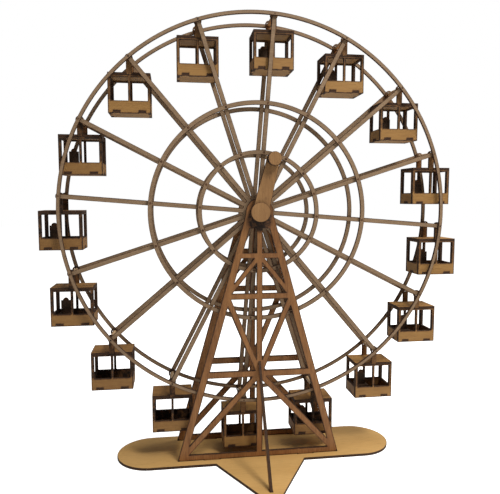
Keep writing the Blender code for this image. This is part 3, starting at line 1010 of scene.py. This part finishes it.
@dataclass
class Wheel:
    """The spokes, rings, pins and rods of both sides."""

    shop: Workshop
    axle_height: float = 313.0 * MM
    spoke_count: int = 16
    phase: float = math.radians(-4.6)
    ring_face: float = 26.8 * MM
    ring_back: float = 23.8 * MM
    halo: float = 0.8 * MM
    step: float = 2.4 * MM
    rod_circle: float = 238.0 * MM
    rod_radius: float = 2.4 * MM
    rod_pin: float = 1.2 * MM
    rod_shoulder: float = 20.2 * MM
    rod_ease: float = 0.25 * MM
    rod_sides: int = 28
    pin_radius: float = 1.6 * MM
    pin_stand: float = 0.12 * MM
    pin_ease: float = 0.1 * MM
    pin_end_burn: float = 0.74
    pin_side_burn: float = 0.95
    pin_sides: int = 14
    rings: tuple[Ring, ...] = (
        Ring("rim", 240.1 * MM, 4.2 * MM, 288),
        Ring("middle_ring", 134.8 * MM, 5.2 * MM, 192),
        Ring("inner_ring", 75.3 * MM, 5.2 * MM, 128),
    )

    def spoke_angles(self) -> np.ndarray:
        """Return the angles of the spokes above +X."""
        return self.phase + 2 * np.pi * np.arange(self.spoke_count) / self.spoke_count

    def spot(self, radius: float, angle: float, y: float) -> Triple:
        """Return a point of the wheel by its radius and angle."""
        return radius * math.cos(angle), y, self.axle_height + radius * math.sin(angle)

    def build(self) -> None:
        """Build both sides and the rods between them."""
        for side in Side:
            self.build_side(side)
        for index, angle in enumerate(self.spoke_angles()):
            self.build_rod(index + 1, angle)

    def build_side(self, side: Side) -> None:
        """Build the spokes, rings and pins of one side.

        Args:
            side: The side.
        """
        node = f"spokes_{side.label}"
        spokes = cut_sheet(node, Axis.Y, self.halo, self.step)
        self.shop.stand_in(node, spokes, Finish.WHEEL, "wheel", "wheel_wood")
        low, high = sorted((side.value * self.ring_back, side.value * self.ring_face))
        for ring in self.rings:
            outer = np.full(ring.sides, ring.radius)
            made = band(outer - ring.width, outer, (self.axle_height, 0.0), low, high, Axis.Y, self.halo)
            self.shop.stand_in(f"{ring.name}_{side.label}", [made], Finish.WHEEL, "wheel", "wheel_wood")
        self.build_pins(side)

    def build_pins(self, side: Side) -> None:
        """Set a burnt pin where each spoke crosses the middle and inner ring.

        Args:
            side: The side.
        """
        near, far = sorted((side.value * self.ring_back, side.value * (self.ring_face + self.pin_stand)))
        profile = rod_profile(self.pin_radius, near, far, self.pin_ease, self.pin_end_burn, self.pin_side_burn)
        pins = [
            turned(profile, self.pin_sides, self.spot(ring.centre_line, angle, 0.0), Axis.Y)
            for ring in self.rings[1:]
            for angle in self.spoke_angles()
        ]
        parts = [(pin, Finish.WHEEL) for pin in pins]
        self.shop.piece(f"pins_{side.label}", parts, "wheel", "wheel_wood", [])

    def build_rod(self, number: int, angle: float) -> None:
        """Build the rod at a spoke's end, its pins just proud of both rims.

        Args:
            number: The rod's number.
            angle: Its spoke's angle.
        """
        reach = self.ring_face + self.pin_stand
        profile = shouldered_profile(self.rod_radius, self.rod_pin, self.rod_shoulder, reach, self.rod_ease)
        rod = turned(profile, self.rod_sides, self.spot(self.rod_circle, angle, 0.0), Axis.Y)
        self.shop.stand_in(f"rod_{number:02d}", [rod], Finish.ROD, "wheel", "rod_wood")


@dataclass
class Crank:
    """The axle with its collars and caps, and the crank with its knob."""

    shop: Workshop
    halo: float = 0.8 * MM
    step: float = 1.2 * MM
    axle_ease: float = 0.3 * MM
    axle_burn: float = 0.4
    axle_sides: int = 40
    knob_discs: int = 3

    def build(self) -> None:
        """Build the axle and what is fixed to it."""
        low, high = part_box("axle")
        middle = (low + high) / 2
        radius = float(high.x - low.x) / 2
        profile = rod_profile(radius, low.y, high.y, self.axle_ease, self.axle_burn, 0.0)
        axle = turned(profile, self.axle_sides, (middle.x, 0.0, middle.z), Axis.Y)
        self.shop.stand_in("axle", [axle], Finish.ROD, "wheel", "crank_wood")
        for node in ("collar_front", "collar_back", "axle_cap_front", "axle_cap_back", "crank_arm"):
            sheets = cut_sheet(node, Axis.Y, self.halo, self.step)
            self.shop.stand_in(node, sheets, Finish.CRANK, "wheel", "crank_wood")
        discs = cut_sheet("crank_knob", Axis.Y, self.halo, self.step, self.knob_discs)
        self.shop.stand_in("crank_knob", discs, Finish.CRANK, "wheel", "crank_wood")


@dataclass
class Cabins:
    """The sixteen hung cabins, modelled round their rod's axis."""

    shop: Workshop
    wheel: Wheel
    sheet: float = 3.0 * MM
    width: float = 50.0 * MM
    depth: float = 38.0 * MM
    height: float = 47.0 * MM
    drop: float = 17.0 * MM
    sill: float = 14.5 * MM
    front_post: float = 3.6 * MM
    side_post: float = 5.5 * MM
    mullion: float = 2.8 * MM
    header: float = 1.8 * MM
    ear_radius: float = 4.7 * MM
    ear_neck: float = 6.6 * MM
    ear_hole: float = 2.95 * MM
    ear_sides: int = 96
    tab_inner: float = 11.0 * MM
    tab_outer: float = 19.0 * MM
    side_tab: float = 5.0 * MM
    recess: float = 0.12 * MM
    seated: tuple[int, ...] = (1, 2, 3, 4, 5, 8, 9, 10, 14, 15, 16)
    seat_x: float = -10.5 * MM
    seat_height: float = 13.0 * MM
    seat_width: float = 16.0 * MM
    seat_depth: float = 18.0 * MM
    back_width: float = 11.0 * MM
    back_height: float = 29.0 * MM
    crest: float = 3.4 * MM
    crest_ease: float = 0.3 * MM
    crest_end_burn: float = 0.6
    crest_side_burn: float = 1.0
    crest_sides: int = 32
    halo: float = 0.9 * MM
    wall_halo: float = 1.7 * MM
    post_burn: float = 0.55
    # The next burn mark is painted shade on the faces inside the cabin.
    inner_burn: float = 0.6
    inner_share: float = 0.9
    # The listed cabins get painted shade: their burn mark is raised all over by the next share.
    shaded_cabins: tuple[int, ...] = (8, 9, 10, 11, 12, 14)
    smoke: float = 0.26

    @property
    def top(self) -> float:
        """Return the height of the roof's upper face."""
        return -self.drop

    @property
    def under(self) -> float:
        """Return the height of the roof's underside."""
        return self.top - self.sheet

    @property
    def foot(self) -> float:
        """Return the height of the floor's underside."""
        return -self.drop - self.height

    @property
    def sill_height(self) -> float:
        """Return the height of the windows' lower edge."""
        return self.foot + self.sill

    @property
    def tabs(self) -> tuple[Pair, Pair]:
        """Return the ends along X of the floor's two tabs in each long wall."""
        return (-self.tab_outer, -self.tab_inner), (self.tab_inner, self.tab_outer)

    def floor_and_roof(self) -> list[Surface]:
        """Cut the floor with its tabs and the roof with its notches.

        Returns:
            The floor and the roof.
        """
        x, y = self.width / 2, self.depth / 2
        inner_x, inner_y = x - self.sheet, y - self.sheet
        tab_y, tab_x = y - self.recess, x - self.recess
        wood = [(-inner_x, inner_x, -inner_y, inner_y), (-tab_x, tab_x, -self.side_tab, self.side_tab)]
        wood += [(low, high, -tab_y, tab_y) for low, high in self.tabs]
        floor = panel(wood, [], self.foot, self.foot + self.sheet, Axis.Z, self.halo)
        half = self.ear_neck / 2
        notches = [(-half, half, inner_y, y), (-half, half, -y, -inner_y)]
        roof = panel([(-x, x, -y, y)], notches, self.under, self.top, Axis.Z, self.halo)
        return [floor, roof]

    def long_walls(self) -> list[Surface]:
        """Cut the front and back wall with two windows, and an ear above each.

        Returns:
            Each wall and its ear.
        """
        x, y = self.width / 2, self.depth / 2
        windows = ((-x + self.front_post, -self.mullion / 2), (self.mullion / 2, x - self.front_post))
        openings = [(self.sill_height, self.under - self.header, low, high) for low, high in windows]
        openings += [(self.foot, self.foot + self.sheet, low, high) for low, high in self.tabs]
        walls = []
        for low, high in ((-y, -y + self.sheet), (y - self.sheet, y)):
            wall = panel([(self.foot, self.under, -x, x)], openings, low, high, Axis.Y, self.wall_halo)
            ear = self.ear(low, high)
            walls.append(wall.scorched(wall.above(self.sill_height), self.post_burn))
            walls.append(ear.scorched(ear.above(self.foot), self.post_burn))
        return walls

    def short_walls(self) -> list[Surface]:
        """Cut the two end walls with one window each, between the long ones.

        Returns:
            Both walls.
        """
        x, y = self.width / 2, self.depth / 2 - self.sheet
        window = self.depth / 2 - self.side_post
        openings = [
            (-window, window, self.sill_height, self.under - self.header),
            (-self.side_tab, self.side_tab, self.foot, self.foot + self.sheet),
        ]
        wood = [(-y, y, self.foot, self.under)]
        places = ((-x, -x + self.sheet), (x - self.sheet, x))
        walls = [panel(wood, openings, low, high, Axis.X, self.wall_halo) for low, high in places]
        return [wall.scorched(wall.above(self.sill_height), self.post_burn) for wall in walls]

    def ear(self, low: float, high: float) -> Surface:
        """Cut one ear: the radius of a round eye or of its neck, whichever reaches further at each angle.

        Args:
            low: The lower face's height.
            high: The upper face's height.

        Returns:
            The ear.
        """
        angles = np.linspace(0.0, 2 * np.pi, self.ear_sides, endpoint=False)
        down, side = -np.cos(angles), np.abs(np.sin(angles))
        to_side = self.ear_neck / 2 / np.maximum(side, LEAST_SLOPE)
        to_foot = (self.drop + self.sheet) / np.maximum(down, LEAST_SLOPE)
        neck = np.where(down > 0.0, np.minimum(to_side, to_foot), 0.0)
        outer = np.maximum(self.ear_radius, neck)
        inner = np.full_like(outer, self.ear_hole)
        return band(inner, outer, (0.0, 0.0), low, high, Axis.Y, self.wall_halo)

    def chair(self) -> list[Surface]:
        """Cut the chair: a seat board, and a back with a round crest on it.

        Returns:
            The seat, the back and the crest.
        """
        seat_top = self.foot + self.seat_height
        x, y = self.seat_width / 2, self.seat_depth / 2
        board = [(self.seat_x - x, self.seat_x + x, -y, y)]
        seat = panel(board, [], seat_top - self.sheet, seat_top, Axis.Z, self.halo)
        half, thick = self.back_width / 2, self.sheet / 2
        foot = self.foot + self.sheet
        top = foot + self.back_height - self.crest
        board = [(foot, top, self.seat_x - half, self.seat_x + half)]
        back = panel(board, [], -thick, thick, Axis.Y, self.halo)
        low, high = -thick + self.recess, thick - self.recess
        profile = rod_profile(self.crest, low, high, self.crest_ease, self.crest_end_burn, self.crest_side_burn)
        return [seat, back, turned(profile, self.crest_sides, (self.seat_x, 0.0, top), Axis.Y)]

    def inside(self, shell: Surface) -> np.ndarray:
        """Mark the points of the floor and walls that face into the cabin, below the roof, where shade is painted.

        Args:
            shell: The cabin's plates.

        Returns:
            A mark for each point.
        """
        x, y, z = shell.points.T
        wall = self.inner_share * self.sheet
        within = (np.abs(x) < self.width / 2 - wall) & (np.abs(y) < self.depth / 2 - wall)
        return within & (z > self.foot + self.sheet / 2) & (z < self.under - self.header / 2)

    def build(self) -> None:
        """Build one cabin and hang a copy on every rod."""
        shell = Surface.joined(self.floor_and_roof() + self.long_walls() + self.short_walls())
        # Paint shade inside the cabin.
        shell.scorched(self.inside(shell), self.inner_burn)
        chair = Surface.joined(self.chair())
        for index, angle in enumerate(self.wheel.spoke_angles()):
            place = Matrix.Translation(self.wheel.spot(self.wheel.rod_circle, angle, 0.0))
            number = f"{index + 1:02d}"
            hung = shell.placed(place)
            # Paint shade on the listed cabins.
            if index + 1 in self.shaded_cabins:
                hung.painted_shade(self.smoke)
            parts = [(hung, Finish.CABIN)]
            if index + 1 in self.seated:
                parts.append((chair.placed(place), Finish.CHAIR))
            body = f"hung_cabin_{number}"
            self.shop.piece(f"cabin_{number}_ply", parts, body, "cabin_wood", [f"cabin_{number}"])


@dataclass(frozen=True)
class View:
    """The camera as fitted to the rims, hub, towers and base."""

    place: Triple = (-0.1060, -0.6882, 0.3292)
    turn: float = 0.1421
    tilt: float = -0.0885
    lens: float = 39.17
    sensor: float = 36.0
    near: float = 0.01
    far: float = 50.0

    def build(self) -> None:
        """Add the camera and make it the scene's."""
        data = bpy.data.cameras.new("view")
        data.lens = self.lens
        data.sensor_width = self.sensor
        data.clip_start = self.near
        data.clip_end = self.far
        camera = add_object("view", data)
        camera.location = self.place
        camera.rotation_euler = (math.pi / 2 + self.tilt, 0.0, -self.turn)
        bpy.context.scene.camera = camera


@dataclass(frozen=True)
class Lamp:
    """A square soft light."""

    name: str
    place: Triple
    size: float
    power: float
    tint: Color

    def build(self, aim: Triple) -> None:
        """Hang the lamp and turn it towards a point.

        Args:
            aim: The point.
        """
        data = bpy.data.lights.new(self.name, "AREA")
        data.size = self.size
        data.energy = self.power
        data.color = self.tint
        light = add_object(self.name, data)
        light.location = self.place
        light.rotation_euler = (Vector(aim) - Vector(self.place)).to_track_quat("-Z", "Y").to_euler()


@dataclass(frozen=True)
class Studio:
    """A pale floor, a pale sky and soft lights."""

    floor_half: float = 6.0
    floor_drop: float = 0.2 * MM
    floor_cloud: Noise = Noise(3.0, 2.0, 0.5)
    floor_dim: Color = (0.93, 0.93, 0.93)
    floor_pale: Color = (0.96, 0.96, 0.955)
    floor_roughness: float = 0.9
    floor_specular: float = 0.1
    glow: float = 0.87
    sky: float = 1.0
    fill: float = 0.16
    aim: Triple = (0.0, 0.0, 0.2)
    lamps: tuple[Lamp, ...] = (
        Lamp("top_light", (0.45, -0.15, 1.6), 1.0, 15.2, (1.0, 0.97, 0.93)),
        Lamp("key_light", (0.50, -0.66, 1.25), 0.3, 9.1, (1.0, 0.95, 0.87)),
        Lamp("side_light", (1.00, 0.20, 0.80), 0.5, 4.2, (1.0, 0.98, 0.95)),
    )

    def build(self) -> None:
        """Add the floor, the sky and the lights, and show white as plain white."""
        bpy.context.scene.view_settings.view_transform = "Standard"
        self.build_floor()
        self.build_sky()
        for lamp in self.lamps:
            lamp.build(self.aim)

    def build_floor(self) -> None:
        """Lay the floor just under the base."""
        half, down = self.floor_half, -self.floor_drop
        mesh = bpy.data.meshes.new("floor")
        corners = [(-half, -half, down), (half, -half, down), (half, half, down), (-half, half, down)]
        mesh.from_pydata(corners, [], [(0, 1, 2, 3)])
        mesh.materials.append(self.floor_material())
        floor = add_object("floor", mesh)

    def floor_material(self) -> bpy.types.Material:
        """Make the floor's material: pale and faintly cloudy, with a glow that only the camera sees.

        Returns:
            The material.
        """
        material = bpy.data.materials.new("pale_floor")
        material.use_nodes = True
        tree = Tree(material.node_tree)
        nodes = material.node_tree.nodes
        cloud = tree.noise(tree.add("TexCoord").outputs["Object"], self.floor_cloud)
        shader = nodes["Principled BSDF"]
        tree.feed(shader, {
            "Base Color": tree.mix(cloud, self.floor_dim, self.floor_pale),
            "Roughness": self.floor_roughness,
            "Specular IOR Level": self.floor_specular,
        })
        plain = shader.outputs[0]
        glow = tree.add("Emission", {"Color": WHITE, "Strength": self.glow}).outputs[0]
        lit = tree.add("AddShader", {0: plain, 1: glow}).outputs[0]
        tree.feed(nodes["Material Output"], {"Surface": tree.for_camera(plain, lit)})
        return material

    def build_sky(self) -> None:
        """Make the sky white to the eye and softer as a light."""
        world = bpy.data.worlds.new("studio")
        world.use_nodes = True
        bpy.context.scene.world = world
        tree = Tree(world.node_tree)
        nodes = world.node_tree.nodes
        light = nodes["Background"]
        tree.feed(light, {"Color": WHITE, "Strength": self.fill})
        seen = tree.add("Background", {"Color": WHITE, "Strength": self.sky})
        tree.feed(nodes["World Output"], {"Surface": tree.for_camera(light.outputs[0], seen.outputs[0])})


def main() -> None:
    """Build the pieces in order and note the sizes."""
    logging.basicConfig(level=logging.INFO, format="%(name)s %(message)s")
    View().build()
    Studio().build()
    shop = Workshop()
    Stand(shop).build()
    wheel = Wheel(shop)
    wheel.build()
    Crank(shop).build()
    Cabins(shop, wheel).build()


if __name__ == "__main__":
    main()
